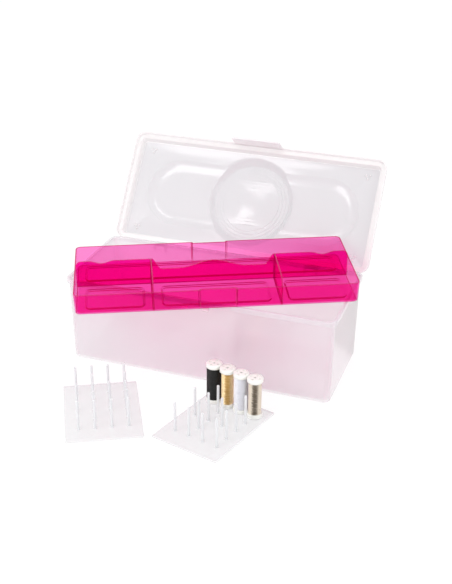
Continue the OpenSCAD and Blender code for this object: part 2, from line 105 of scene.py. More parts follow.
class Finish(Nodes):
    """The node tree of a material."""

    def __init__(self, name):
        self.material = bpy.data.materials.new(name)
        self.material.use_nodes = True
        super().__init__(self.material.node_tree)

    def cloud(self, scale, detail=2, stretch=(1, 1, 1)):
        """A soft noise that is fixed to the piece."""
        place = self.node("ShaderNodeTexCoord", {}, {}, "Object")
        where = self.node("ShaderNodeMapping", {}, {"Vector": place, "Scale": stretch})
        return self.node("ShaderNodeTexNoise", {}, {"Vector": where, "Scale": scale, "Detail": detail})

    def between(self, share, first, second):
        """A mix of two colours. The colour sockets of a Mix node have the numbers 6, 7 and 2."""
        colours = {0: share, 6: (*first, 1), 7: (*second, 1)}
        return self.node("ShaderNodeMix", {"data_type": "RGBA"}, colours, 2)

    def bump(self, strength, distance, height):
        sockets = {"Strength": strength, "Distance": distance, "Height": height}
        return self.node("ShaderNodeBump", {}, sockets)

    def sheen(self):
        """How much a plastic skin mirrors: little face on, all at a slant, alike from both sides."""
        face_on = 0.04
        fall = 5
        slant = self.node("ShaderNodeLayerWeight", {}, {"Blend": 0.5}, "Facing")
        return slant ** fall * (1 - face_on) + face_on

    def blended(self, share, first, second):
        return self.node("ShaderNodeMixShader", {}, {0: share, 1: first, 2: second})

    def shown(self, surface):
        """Ends the tree in a surface and gives the material."""
        self.node("ShaderNodeOutputMaterial", {}, {"Surface": surface})
        return self.material


def linked(name, data):
    """A new object in the scene."""
    made = bpy.data.objects.new(name, data)
    collection.objects.link(made)
    return made


def table_white():
    """Matt white that the camera sees partly as plain white; the rest keeps the soft shadows."""
    finish = Finish("table_white")
    tone = finish.between(finish.cloud(scale=3), (0.9, 0.9, 0.9), (0.93, 0.93, 0.93))
    paint = finish.node("ShaderNodeBsdfPrincipled", {}, {"Base Color": tone, "Roughness": 0.7})
    plain = finish.node("ShaderNodeEmission", {}, {"Color": WHITE, "Strength": 1.03})
    plain_share = 0.86
    return finish.shown(finish.blended(finish.seen() * plain_share, paint, plain))


def build_table():
    half = 6
    mesh = bpy.data.meshes.new("table_top")
    corners = [(-half, -half, 0), (half, -half, 0), (half, half, 0), (-half, half, 0)]
    mesh.from_pydata(corners, [], [(0, 1, 2, 3)])
    mesh.materials.append(table_white())
    linked("table_top", mesh)


def build_surround():
    """A white world, a trace dimmer where it only lights the object."""
    world = bpy.data.worlds.new("surround")
    bpy.context.scene.world = world
    world.use_nodes = True
    nodes = Nodes(world.node_tree)
    level = nodes.node("ShaderNodeMapRange", {}, {"Value": nodes.seen(), "To Min": 0.97, "To Max": 1.0})
    back = nodes.node("ShaderNodeBackground", {}, {"Color": WHITE, "Strength": level})
    nodes.node("ShaderNodeOutputWorld", {}, {"Surface": back})


def soft_lamp(name, place, aim, size, power):
    light = bpy.data.lights.new(name, "AREA")
    light.shape = "RECTANGLE"
    light.size, light.size_y = size
    light.energy = power
    lamp = linked(name, light)
    lamp.location = place
    lamp.rotation_mode = "QUATERNION"
    lamp.rotation_quaternion = (Vector(place) - Vector(aim)).to_track_quat("Z", "Y")


def build_camera(target, turn, rise, roll, distance, focal_pixels):
    """The photograph's camera: turned to the right of the front, looking down, slightly rolled."""
    image_height = 584
    film = 36
    lens = bpy.data.cameras.new("camera")
    lens.sensor_width = film
    lens.lens = focal_pixels * film / image_height
    lens.clip_end = 20
    turn, rise, roll = math.radians(turn), math.radians(rise), math.radians(roll)
    away = Vector((math.sin(turn) * math.cos(rise), -math.cos(turn) * math.cos(rise), math.sin(rise)))
    right = (-away).cross(Vector((0, 0, 1))).normalized()
    up = right.cross(-away)
    level_right = right * math.cos(roll) + up * math.sin(roll)
    level_up = up * math.cos(roll) - right * math.sin(roll)
    stand = Matrix((level_right, level_up, away)).transposed().to_4x4()
    stand.translation = target + away * distance
    camera = linked("camera", lens)
    camera.matrix_world = stand
    bpy.context.scene.camera = camera


build_table()
build_surround()
soft_lamp("front_left", place=(-0.7, -1.42, 1.25), aim=(0, 0.1, 0.2), size=(0.42, 0.78), power=12)
soft_lamp("overhead", place=(-0.46, -0.71, 1.85), aim=(0, 0.1, 0.2), size=(0.6, 0.3), power=4.5)
soft_lamp("left", place=(-2.2, 0.2, 0.7), aim=(0, 0, 0.15), size=(0.9, 1.2), power=4.5)
soft_lamp("right", place=(2.1, -1.3, 0.9), aim=(0, 0, 0.15), size=(0.9, 1.2), power=10)
build_camera(target=Vector((-0.169708, 0.535049, -0.184759)), turn=19.042, rise=26.473, roll=0.474,
             distance=2.065477, focal_pixels=1081.219)
bpy.context.scene.view_settings.view_transform = "Standard"

# The box
# One moulding in frosted polypropylene: drafted walls on a foot ring, a turned-down rim, two catch
# lugs for the latch tab, and two pairs of ears with a hinge pin between each.
MM = 0.001
BOX_LENGTH = 360 * MM
BOX_WIDTH = 149 * MM
BOX_HEIGHT = 118.5 * MM
BOX_WALL = 1.6 * MM
BOX_CORNER = 8.5 * MM
RIM_OUT = 3 * MM
HINGE_X = 110 * MM
HINGE_Y = 82 * MM
HINGE_Z = 113 * MM
CATCH_X = 14 * MM
CATCH_HALF = 4 * MM
QUARTER_TURN = 90


def arc_angles(start, sweep, steps):
    """Angles along an arc. The start and the sweep are in degrees, the angles in radians."""
    return [math.radians(start + sweep * step / steps) for step in range(steps + 1)]


def circle(radius, sides):
    """Points round a circle, as pairs."""
    angles = [2 * math.pi * side / sides for side in range(sides)]
    return [(radius * math.cos(angle), radius * math.sin(angle)) for angle in angles]


def rounded_ring(length, width, radius, height, arc=8, notch=None):
    """Points round a rectangle with rounded corners, anticlockwise from above. A notch is (half its
    width, its depth, its corners' bevel), in the middle of both long sides."""
    points = []
    for x_side, y_side, start in ((1, -1, -90), (1, 1, 0), (-1, 1, 90), (-1, -1, 180)):
        x = x_side * (length / 2 - radius)
        y = y_side * (width / 2 - radius)
        for angle in arc_angles(start, QUARTER_TURN, arc):
            points.append((x + radius * math.cos(angle), y + radius * math.sin(angle), height))
        if notch and x_side == y_side:
            half, depth, bevel = notch
            edge = [(half + bevel, 0), (half, bevel), (half, depth - bevel), (half - bevel, depth)]
            mirrored = [(-along, inward) for along, inward in reversed(edge)]
            for along, inward in edge + mirrored:
                points.append((y_side * along, y_side * (width / 2 - inward), height))
    return points


def shell(rings, cap_first=True, cap_last=True, finish_of=None):
    """A skin through rings of equally many points. finish_of turns a face's band and its place
    round the ring into the index of its material."""
    made = bmesh.new()
    rows = [[made.verts.new(point) for point in ring] for ring in rings]
    for band, (low, high) in enumerate(zip(rows, rows[1:])):
        for place in range(len(low)):
            after = (place + 1) % len(low)
            face = made.faces.new((low[place], low[after], high[after], high[place]))
            if finish_of:
                face.material_index = finish_of(band, place)
    if cap_first:
        made.faces.new(rows[0][::-1])
    if cap_last:
        made.faces.new(rows[-1])
    return made


def bar(made, low, high, bevel=0.0):
    """Adds a box between two corners."""
    verts = bmesh.ops.create_cube(made, size=1)["verts"]
    size = Vector(high) - Vector(low)
    middle = (Vector(high) + Vector(low)) / 2
    for vert in verts:
        vert.co = vert.co * size + middle
    if bevel:
        edges = list({edge for vert in verts for edge in vert.link_edges})
        bmesh.ops.bevel(made, geom=edges, offset=bevel, segments=2, affect="EDGES", profile=0.5)


def rod_along_x(made, radius, start, end, y, z, bore=0, sides=32):
    """Adds a rod, or a tube with a bore, along X."""
    outline = [(start, radius), (end, radius)]
    if bore:
        outline += [(end, bore), (start, bore)]
    rows = [[made.verts.new((x, y + a, z + b)) for a, b in circle(reach, sides)] for x, reach in outline]
    following = rows[1:] + rows[:1] if bore else rows[1:]
    for low, high in zip(rows, following):
        for side in range(sides):
            after = (side + 1) % sides
            made.faces.new((low[side], high[side], high[after], low[after]))
    if not bore:
        made.faces.new(rows[0])
        made.faces.new(rows[-1][::-1])


def plate(made, outline, thickness, place):
    """Adds a flat plate from (a, b) points. place turns (a, b, depth into the plate) into a point."""
    near = [made.verts.new(place(a, b, 0)) for a, b in outline]
    far = [made.verts.new(place(a, b, thickness)) for a, b in outline]
    made.faces.new(near)
    made.faces.new(far[::-1])
    for corner in range(len(outline)):
        after = (corner + 1) % len(outline)
        made.faces.new((near[corner], far[corner], far[after], near[after]))


def finished(made, name, *materials, sharp=35):
    """Turns a bmesh into an object that is smooth between edges sharper than this many degrees.
    The normals are brought up to date first, so that moved pieces are turned outwards too."""
    made.normal_update()
    bmesh.ops.recalc_face_normals(made, faces=made.faces)
    for face in made.faces:
        face.smooth = True
    for edge in made.edges:
        if len(edge.link_faces) == 2 and edge.calc_face_angle(0) > math.radians(sharp):
            edge.smooth = False
    mesh = bpy.data.meshes.new(name)
    made.to_mesh(mesh)
    made.free()
    for material in materials:
        mesh.materials.append(material)
    return linked(name, mesh)


def dimmed(tone, share):
    return tuple(channel * share for channel in tone)


def frosted(name, tone, cover, rough=0.3, milk=0.5, gloss=0.5):
    """Frosted polypropylene: clear, with a milky body over this share of it, a part of which is lit
    from behind, under a satin skin that catches the lamps."""
    finish = Finish(name)
    body = finish.between(finish.cloud(scale=9), dimmed(tone, 0.97), tone)
    lit = finish.node("ShaderNodeBsdfPrincipled", {}, {"Base Color": body, "Roughness": rough, "IOR": 1.49})
    glow = finish.node("ShaderNodeBsdfTranslucent", {}, {"Color": (*tone, 1)})
    clear = finish.node("ShaderNodeBsdfTransparent", {}, {"Color": (0.99, 0.985, 0.99, 1)})
    slant = finish.node("ShaderNodeLayerWeight", {}, {"Blend": 0.15}, "Facing")
    more_at_slant = 0.3
    milky_share = slant * (1 - cover) * more_at_slant + cover
    inside = finish.blended(milky_share, clear, finish.blended(milk, lit, glow))
    ripple = finish.bump(0.03, 0.5 * MM, finish.cloud(scale=18))
    skin = finish.node("ShaderNodeBsdfGlossy", {}, {"Color": WHITE, "Roughness": rough, "Normal": ripple})
    return finish.shown(finish.blended(finish.sheen() * gloss, inside, skin))


box_plastic = frosted("frosted_box", (0.92, 0.9, 0.92), cover=0.3, rough=0.14, gloss=0.9)
thick_plastic = frosted("frosted_thick", (0.95, 0.94, 0.945), cover=0.9, rough=0.35)


def box_rings():
    """Rings from the foot up the outside, over the rim and down to the floor inside."""
    base_length = BOX_LENGTH - 3 * MM
    base_width = BOX_WIDTH - 5 * MM
    least_corner = 1.2 * MM
    foot = 1 * MM
    foot_band = 9 * MM
    foot_bevel = 0.2 * MM
    bevel = 0.3 * MM
    outer_edge = 3 * MM
    inner_edge = 2.4 * MM
    edge_steps = 5
    fillet = 0.4 * MM
    fillet_drop = 0.6 * MM
    rim_thick = 1.3 * MM
    rim_under = BOX_HEIGHT - rim_thick
    rim_foot = BOX_HEIGHT - 6.7 * MM
    rim_inner = RIM_OUT - rim_thick
    lip = 0.5 * MM
    outer_lip = [(0, 1.6), (0.4, 0.5), (1.6, 0)]
    inner_lip = [(1.4, 0), (0.3, 0.4), (0, 1.4)]
    rings = []

    def wall(grow, height, corner=None):
        share = limited(height / BOX_HEIGHT)
        length = base_length + (BOX_LENGTH - base_length) * share
        width = base_width + (BOX_WIDTH - base_width) * share
        radius = max(BOX_CORNER + grow, least_corner) if corner is None else corner
        rings.append(rounded_ring(length + 2 * grow, width + 2 * grow, radius, height))

    def rim(out, height):
        rings.append(rounded_ring(BOX_LENGTH + 2 * out, BOX_WIDTH + 2 * out, BOX_CORNER + out, height))

    wall(-foot_band, foot, BOX_CORNER)
    wall(-foot_band, foot_bevel, BOX_CORNER)
    wall(-foot_band + bevel, 0, BOX_CORNER)
    for angle in arc_angles(0, QUARTER_TURN, edge_steps):
        wall(-outer_edge * (1 - math.sin(angle)), outer_edge * (1 - math.cos(angle)))
    wall(0, rim_under - fillet_drop)
    wall(fillet, rim_under)
    rim(rim_inner - bevel, rim_under)
    rim(rim_inner, rim_under - fillet)
    rim(rim_inner, rim_foot + bevel)
    rim(rim_inner + bevel, rim_foot)
    rim(RIM_OUT - bevel, rim_foot)
    rim(RIM_OUT, rim_foot + bevel)
    for inward, down in outer_lip:
        rim(RIM_OUT - lip * inward, BOX_HEIGHT - lip * down)
    for outward, down in inner_lip:
        rim(-BOX_WALL + lip * outward, BOX_HEIGHT - lip * down)
    floor_top = foot + BOX_WALL
    for angle in arc_angles(0, QUARTER_TURN, edge_steps):
        wall(-BOX_WALL - inner_edge * (1 - math.cos(angle)), floor_top + inner_edge * (1 - math.sin(angle)))
    return rings


def limited(share):
    """A share kept between none and all."""
    return min(max(share, 0), 1)


def add_hinge_ear(made, x, thickness):
    """An arm from the box's wall to a round end about the hinge axis."""
    wall_y = BOX_WIDTH / 2 - BOX_WALL
    rim_y = BOX_WIDTH / 2 + RIM_OUT - 0.8 * MM
    arm_top = 112.6 * MM
    arm_foot = HINGE_Z - 8 * MM
    end_radius = 2.3 * MM
    outline = [(wall_y, arm_top), (wall_y, arm_foot), (HINGE_Y - 1.2 * MM, HINGE_Z - 1.95 * MM)]
    for angle in arc_angles(-60, 195, 8):
        outline.append((HINGE_Y + end_radius * math.cos(angle), HINGE_Z + end_radius * math.sin(angle)))
    outline += [(HINGE_Y - end_radius, HINGE_Z), (rim_y, HINGE_Z), (rim_y, arm_top)]
    plate(made, outline, thickness, lambda a, b, depth: (x + depth, a, b))


def add_hinge_pin(made, centre):
    """A pin and the two ears that hold it."""
    half = 7 * MM
    ear = 2.5 * MM
    held = 0.5 * MM
    radius = 1.7 * MM
    add_hinge_ear(made, centre + half, ear)
    add_hinge_ear(made, centre - half - ear, ear)
    rod_along_x(made, radius, centre - half - held, centre + half + held, HINGE_Y, HINGE_Z)


def add_catch_lug(made, centre):
    front, rear = -77.4 * MM, -72.8 * MM
    low, high = 106.3 * MM, 109.3 * MM
    bar(made, (centre - CATCH_HALF, front, low), (centre + CATCH_HALF, rear, high), bevel=0.7 * MM)


def add_gate(made):
    """The small disc under the floor where the plastic went into the mould."""
    radius = 7 * MM
    height = 1.1 * MM
    bmesh.ops.create_cone(made, cap_ends=True, segments=32, radius1=radius, radius2=radius, depth=height,
                          matrix=Matrix.Translation((0, 0, height / 2)))


def build_box():
    box = finished(shell(box_rings()), "frosted_box", box_plastic)
    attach(box, "box")
    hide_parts("box_body")


def build_box_fittings():
    made = bmesh.new()
    for side in (-1, 1):
        add_hinge_pin(made, side * HINGE_X)
        add_catch_lug(made, side * CATCH_X)
    add_gate(made)
    fittings = finished(made, "box_fittings", thick_plastic)
    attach(fittings, "box")


build_box()
build_box_fittings()

# The lid
# One thin moulding in the same frosted plastic, swung open about the hinge pins. Its panel has a
# long pressed field and a round one that steps down to a shallow bowl; hooks clip onto the pins.
LID_OPEN = math.radians(126.7)
LID_LENGTH = 370.4 * MM
LID_WIDTH = 159.4 * MM
LID_CORNER = 13.7 * MM
LID_WALL = 1.6 * MM
SKIRT_FOOT = 113.5 * MM
SHOULDER = 118.8 * MM
PANEL = 130.5 * MM
PANEL_STEPS = 6
DISC_RADIUS = 67 * MM
DISC_SIDE = 11.5 * MM
DISC_HEIGHT = 10 * MM
FIELD_LENGTH = 315 * MM
FIELD_WIDTH = 100 * MM
FIELD_SIDE = 24 * MM
FIELD_HEIGHT = 4 * MM
STEPS = 4
STEP_WIDTH = 4.6 * MM
STEP_HEIGHT = 0.9 * MM
STEP_RISER = 0.35 * MM
STAIR_RADIUS = 54.7 * MM
BOWL_RADIUS = STAIR_RADIUS - STEPS * STEP_WIDTH
BOWL_DEPTH = 3 * MM
WELD = 0.02 * MM

lid_plastic = frosted("frosted_lid", (0.83, 0.825, 0.84), cover=0.82, rough=0.14, milk=0.65, gloss=0.15)
# The rim, skirt and pips take a second copy of the lid's plastic, more opaque and painted lighter, which
# lifts the shade on the rim's edges, its draft walls and round the pips.
lid_lighter_painted_plastic = frosted("frosted_lid_rim", (0.94, 0.93, 0.93), cover=0.92, rough=0.2, milk=0.65, gloss=0.4)


def swing_open(verts):
    """Swings the shut lid's points open with it."""
    c, s = math.cos(LID_OPEN), math.sin(LID_OPEN)
    for vert in verts:
        y, z = vert.co.y - HINGE_Y, vert.co.z - HINGE_Z
        vert.co = (vert.co.x, HINGE_Y + y * c + z * s, HINGE_Z + z * c - y * s)


def eased(share):
    return 3 * share ** 2 - 2 * share ** 3


def press_height(x, y, inset):
    """Height of the pressed fields over the lid's flat panel. The inner skin lies inset by the wall."""
    straight = (FIELD_LENGTH - FIELD_WIDTH) / 2
    inside_field = FIELD_WIDTH / 2 - math.hypot(max(abs(x) - straight, 0), y)
    radius = math.hypot(x, y)
    field = FIELD_HEIGHT * (1 - (1 - limited((inside_field - inset) / FIELD_SIDE)) ** 3)
    disc = DISC_HEIGHT * eased(limited((DISC_RADIUS - inset - radius) / DISC_SIDE))
    height = max(field, disc)
    for step in range(STEPS):
        height -= STEP_HEIGHT * limited((STAIR_RADIUS - radius - step * STEP_WIDTH) / STEP_RISER)
    if radius < BOWL_RADIUS:
        height -= BOWL_DEPTH * (1 - (radius / BOWL_RADIUS) ** 2)
    return height


def pressed_skin(made, rim_points, outlines, height_at):
    """Adds a skin inside a ring of points, shaped along closed outlines by a height for each place."""
    inside_only = 1
    near = 0.01 * MM
    points, edges = [], []
    for outline in [rim_points] + outlines:
        start, count = len(points), len(outline)
        points.extend(Vector(point[:2]) for point in outline)
        edges.extend((start + k, start + (k + 1) % count) for k in range(count))
    where, _, faces, *_ = delaunay_2d_cdt(points, edges, [], inside_only, near)
    verts = [made.verts.new((point.x, point.y, height_at(point.x, point.y))) for point in where]
    return [made.faces.new([verts[k] for k in face]) for face in faces]


def lid_outlines(inset):
    """Outlines of the pressed fields, close together where the skin curves."""
    field_steps = 12
    disc_steps = 10
    bowl_steps = 8
    sides = 96
    sliver = 0.01 * MM
    outlines = []
    for step in range(field_steps + 1):
        grow = inset + FIELD_SIDE * step / field_steps
        width = FIELD_WIDTH - 2 * grow
        outlines.append(rounded_ring(FIELD_LENGTH - 2 * grow, width, width / 2 - sliver, 0, arc=sides // 4))
    radii = [DISC_RADIUS - inset - DISC_SIDE * step / disc_steps for step in range(disc_steps + 1)]
    for step in range(STEPS):
        radii += [STAIR_RADIUS - step * STEP_WIDTH, STAIR_RADIUS - step * STEP_WIDTH - STEP_RISER]
    radii += [BOWL_RADIUS * step / bowl_steps for step in range(1, bowl_steps)]
    return outlines + [circle(radius, sides) for radius in radii]


def lid_rings():
    """Rings from the panel's outside down to the skirt's foot and up again inside."""
    to_rise = 6.5 * MM
    lean = 1.2 * MM
    panel_edge = 3 * MM
    shoulder_edge = 0.8 * MM
    inner_edge = 1.4 * MM
    edge_steps = 3
    bevel = 0.2 * MM
    outer_fillet = 0.5 * MM
    inner_fillet = 0.4 * MM
    root_out, root_up = 0.1 * MM, 0.6 * MM
    shoulder_top = SHOULDER + LID_WALL
    rings = []

    def add(grow, height):
        length, width, corner = LID_LENGTH + 2 * grow, LID_WIDTH + 2 * grow, LID_CORNER + grow
        rings.append(rounded_ring(length, width, corner, height, arc=10))

    for angle in arc_angles(0, QUARTER_TURN, PANEL_STEPS):
        add(-to_rise - lean - panel_edge * (1 - math.sin(angle)), PANEL - panel_edge * (1 - math.cos(angle)))
    add(-to_rise - bevel, shoulder_top + outer_fillet)
    add(-to_rise + outer_fillet, shoulder_top)
    for angle in arc_angles(0, QUARTER_TURN, edge_steps):
        add(-shoulder_edge * (1 - math.sin(angle)), shoulder_top - shoulder_edge * (1 - math.cos(angle)))
    add(0, SKIRT_FOOT + bevel)
    add(-bevel, SKIRT_FOOT)
    add(-LID_WALL + bevel, SKIRT_FOOT)
    add(-LID_WALL, SKIRT_FOOT + bevel)
    add(-LID_WALL, SHOULDER - inner_fillet)
    add(-LID_WALL - inner_fillet, SHOULDER)
    add(-to_rise - LID_WALL + outer_fillet, SHOULDER)
    add(-to_rise - LID_WALL - root_out, SHOULDER + root_up)
    for angle in arc_angles(0, QUARTER_TURN, edge_steps):
        add(-to_rise - LID_WALL - lean - inner_edge * (1 - math.cos(angle)),
            PANEL - LID_WALL - inner_edge * (1 - math.sin(angle)))
    return rings


def build_lid():
    """The panel's two pressed skins, joined by the rim, whose plastic starts below the panel: more opaque,
    and painted lighter to lift the shade on its edges and draft walls.
    """
    rings = lid_rings()
    # From the panel's edge on, the bands take the copy of the plastic that is painted lighter.
    made = shell(rings, False, False, finish_of=lambda band, place: int(band >= PANEL_STEPS))
    for ring, level, inset in ((rings[0], PANEL, 0), (rings[-1], PANEL - LID_WALL, LID_WALL)):
        pressed_skin(made, ring, lid_outlines(inset), lambda x, y: level + press_height(x, y, inset))
    bmesh.ops.remove_doubles(made, verts=made.verts, dist=WELD)
    swing_open(made.verts)
    lid = finished(made, "frosted_lid", lid_plastic, lid_lighter_painted_plastic, sharp=24)
    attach(lid, "lid")
    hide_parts("lid")


def add_latch_tab(made):
    """The tab that hangs in front of the box's rim, with a bead along its foot."""
    half = 35 * MM
    thick = 1.8 * MM
    front = 80.3 * MM
    foot = BOX_HEIGHT - 26 * MM
    top = 119.6 * MM
    corner = 2 * MM
    bead = 1.35 * MM
    outline = [(half, top), (-half, top)]
    for side, start in ((-1, 180), (1, 270)):
        for angle in arc_angles(start, QUARTER_TURN, 6):
            along = side * (half - corner) + corner * math.cos(angle)
            outline.append((along, foot + corner + corner * math.sin(angle)))
    plate(made, outline, thick, lambda a, b, depth: (a, depth - front, b))
    rod_along_x(made, bead, corner - half, half - corner, -front, foot + thick)


def add_latch_ridge(made, centre):
    """The ridge inside the tab that goes under a catch lug."""
    front, rear = -79.2 * MM, -77.9 * MM
    low, high = 104.4 * MM, 106 * MM
    bar(made, (centre - CATCH_HALF, front, low), (centre + CATCH_HALF, rear, high), bevel=0.3 * MM)


def add_hook(made, centre):
    """A hook round a hinge pin, its arm to the lid, and the heel that stops the lid at the rim."""
    half = 6.7 * MM
    radius, bore = 3.3 * MM, 1.78 * MM
    arm_front, arm_rear = 78.2 * MM, 81 * MM
    arm_low, arm_high = 113.9 * MM, 116.2 * MM
    heel_half = 5.9 * MM
    heel_near, heel_far = 2.5 * MM, 4.2 * MM
    heel_side = 1.1 * MM
    rod_along_x(made, radius, centre - half, centre + half, HINGE_Y, HINGE_Z, bore)
    bar(made, (centre - half, arm_front, arm_low), (centre + half, arm_rear, arm_high))
    c, s = math.cos(math.pi + LID_OPEN), math.sin(math.pi + LID_OPEN)
    heel = [(heel_near, -heel_side), (heel_far, -heel_side), (heel_far, heel_side), (heel_near, heel_side)]
    turned = [(HINGE_Y + a * c - b * s, HINGE_Z + a * s + b * c) for a, b in heel]
    plate(made, turned, 2 * heel_half, lambda a, b, depth: (centre - heel_half + depth, a, b))


def build_lid_fittings():
    made = bmesh.new()
    add_latch_tab(made)
    for side in (-1, 1):
        add_latch_ridge(made, side * CATCH_X)
        add_hook(made, side * HINGE_X)
    swing_open(made.verts)
    fittings = finished(made, "lid_fittings", thick_plastic)
    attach(fittings, "lid")


class Growth(Nodes):
    """A Geometry Nodes tree with named inputs, which makes the mesh of one piece."""

    def __init__(self, name, inputs):
        super().__init__(bpy.data.node_groups.new(name, "GeometryNodeTree"))
        self.name = name
        self.values = {}
        sockets = self.tree.interface
        sockets.new_socket("Geometry", in_out="OUTPUT", socket_type="NodeSocketGeometry")
        sockets.new_socket("Geometry", in_out="INPUT", socket_type="NodeSocketGeometry")
        for label, (kind, value) in inputs.items():
            made = sockets.new_socket(label, in_out="INPUT", socket_type="NodeSocket" + kind)
            self.values[made.identifier] = value

    def given(self, label):
        """One of the tree's inputs."""
        return self.node("NodeGroupInput", {}, {}, label)

    def grown(self, shape, points=()):
        """Ends the tree in its material, lets it build once on the points and keeps the plain mesh."""
        whole = self.node("GeometryNodeRealizeInstances", {}, {"Geometry": shape})
        paint = {"Geometry": whole, "Material": self.given("Material")}
        self.node("NodeGroupOutput", {}, {"Geometry": self.node("GeometryNodeSetMaterial", {}, paint)})
        start = bpy.data.meshes.new(self.name + "_points")
        start.from_pydata(points, [], [])
        seedling = linked(self.name + "_seedling", start)
        growth = seedling.modifiers.new("growth", "NODES")
        growth.node_group = self.tree
        for identifier, value in self.values.items():
            growth[identifier] = value
        bpy.context.view_layer.update()
        evaluated = seedling.evaluated_get(bpy.context.evaluated_depsgraph_get())
        mesh = bpy.data.meshes.new_from_object(evaluated)
        mesh.name = self.name
        seedling.modifiers.clear()
        bpy.data.objects.remove(seedling)
        return linked(self.name, mesh)


def repeated(name, piece, points, material, spread, seed):
    """Sets copies of a piece on points, each turned about its own axis by a chance angle of up to
    the spread. The number sockets of a Random Value node are inputs 2 and 3 and output 1."""
    tree = Growth(name, {"Piece": ("Object", piece), "Turn": ("Float", spread), "Seed": ("Int", seed),
                         "Material": ("Material", material)})
    limits = {2: tree.given("Turn") * -1, 3: tree.given("Turn"), "Seed": tree.given("Seed")}
    chance = tree.node("FunctionNodeRandomValue", {}, limits, 1)
    copies = tree.node("GeometryNodeInstanceOnPoints", {}, {
        "Points": tree.given("Geometry"),
        "Instance": tree.node("GeometryNodeObjectInfo", {}, {"Object": tree.given("Piece")}, "Geometry"),
        "Rotation": tree.node("ShaderNodeCombineXYZ", {}, {"Z": chance})})
    return tree.grown(copies, points)


def lathed(made, profile, sides=48, closed=True, centre=(0, 0, 0)):
    """Adds a turned shape from (radius, height) points. A closed profile makes a ring; an open one
    starts and ends on the axis."""
    x, y, z = centre
    rows = []
    for radius, height in profile:
        ring = circle(radius, sides) if radius else [(0, 0)]
        rows.append([made.verts.new((x + a, y + b, z + height)) for a, b in ring])
    following = rows[1:] + rows[:1] if closed else rows[1:]
    for low, high in zip(rows, following):
        for side in range(sides):
            after = (side + 1) % sides
            if len(low) == 1:
                made.faces.new((low[0], high[after], high[side]))
            elif len(high) == 1:
                made.faces.new((low[side], low[after], high[0]))
            else:
                made.faces.new((low[side], low[after], high[after], high[side]))


def build_pips():
    """Four groups of three small round pips inside the panel's corners."""
    foot, top = 0.1 * MM, 1.3 * MM
    outline = [(0, foot), (0.9 * MM, foot), (1.3 * MM, 0.3 * MM), (1.7 * MM, 0.9 * MM),
               (1.7 * MM, top), (0, top)]
    group_x, group_y = 159.2 * MM, 57.7 * MM
    reach = 5.6 * MM / math.sqrt(3)
    level = PANEL - LID_WALL - 0.9 * MM
    made = bmesh.new()
    lathed(made, outline, sides=20, closed=False)
    # The pips take the lid's copy painted lighter, which lifts the shade round them.
    pip = finished(made, "one_pip", lid_lighter_painted_plastic)
    points = []
    for x_side in (-1, 1):
        for y_side in (-1, 1):
            for angle in arc_angles(90, 240, 2):
                x = x_side * group_x + reach * math.cos(angle)
                y = y_side * group_y + reach * math.sin(angle)
                points.append((x, y, level))
    pips = repeated("lid_pips", pip, points, lid_lighter_painted_plastic, spread=0.2, seed=3)
    bpy.data.objects.remove(pip)
    swing_open(pips.data.vertices)
    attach(pips, "lid")


build_lid()
build_lid_fittings()
build_pips()

# The tray
# A clear magenta moulding with thin walls, a notch in each long side, one long divider with finger
# grips and two cross walls. Its edges look much darker, because they are seen through their length.
TRAY_LENGTH = 356 * MM
TRAY_WIDTH = 141 * MM
TRAY_HEIGHT = 27 * MM
TRAY_DRAFT = 1.2 * MM
TRAY_WALL = 1.6 * MM
TRAY_CORNER = 7 * MM
TRAY_ARC = 8
NOTCH_HALF = 22 * MM
NOTCH_IN = 3 * MM
NOTCH_POINTS = 8
DIVIDER_Y = 5 * MM
DIVIDER_HEIGHT = 36.5 * MM
DIVIDER_THICK = 1.5 * MM
DIVIDER_FOOT = TRAY_WALL * 0.6
CROSS_X = 80 * MM
FLOOR_RISE = 1.6 * MM
FLOOR_LIP = 0.9 * MM
TRAY_X = 6.3 * MM
TRAY_Y = -24.6 * MM
TRAY_TURN = math.radians(24.8)
TRAY_LEAN = math.radians(1.4)
TRAY_SEAT = 0.3 * MM
RIM_WIDTH = 155 * MM
CLEAR_FACE, DARK_FACE, FLOOR_FACE = 0, 1, 2


def laid_in_place(point):
    """A point of the level tray, laid over the box's rim."""
    c, s = math.cos(TRAY_TURN), math.sin(TRAY_TURN)
    x = point[0] * c - point[1] * s + TRAY_X
    y = point[0] * s + point[1] * c + TRAY_Y + RIM_WIDTH / 2
    z = point[2] + TRAY_SEAT
    c, s = math.cos(TRAY_LEAN), math.sin(TRAY_LEAN)
    return (x, y * c - z * s - RIM_WIDTH / 2, y * s + z * c + BOX_HEIGHT)


def tinted(name, through, body, cover, rough):
    """Clear tinted plastic: light takes its colour on the way through, and the skin has sharp glints."""
    finish = Finish(name)
    clear = finish.node("ShaderNodeBsdfTransparent", {}, {"Color": (*through, 1)})
    skin = finish.node("ShaderNodeBsdfPrincipled", {}, {
        "Base Color": finish.between(finish.cloud(scale=6), body, dimmed(body, 0.94)),
        "Roughness": rough,
        "IOR": 1.5,
        "Normal": finish.bump(0.06, 0.6 * MM, finish.cloud(scale=25))})
    gloss = 0.3
    return finish.shown(finish.blended(finish.sheen() * gloss + cover, clear, skin))


MAGENTA = (1.0, 0.0, 0.46)
tray_plastic = tinted("tinted_tray", (1.0, 0.53, 0.81), MAGENTA, cover=0.03, rough=0.1)
tray_floor_plastic = tinted("tinted_floor", (1.0, 0.29, 0.68), MAGENTA, cover=0.03, rough=0.1)
tray_deep = tinted("tinted_deep", (1.0, 0.17, 0.72), MAGENTA, cover=0.03, rough=0.1)
tray_edge = tinted("tinted_edges", (0.8, 0.03, 0.25), (0.48, 0.0, 0.11), cover=0.8, rough=0.2)


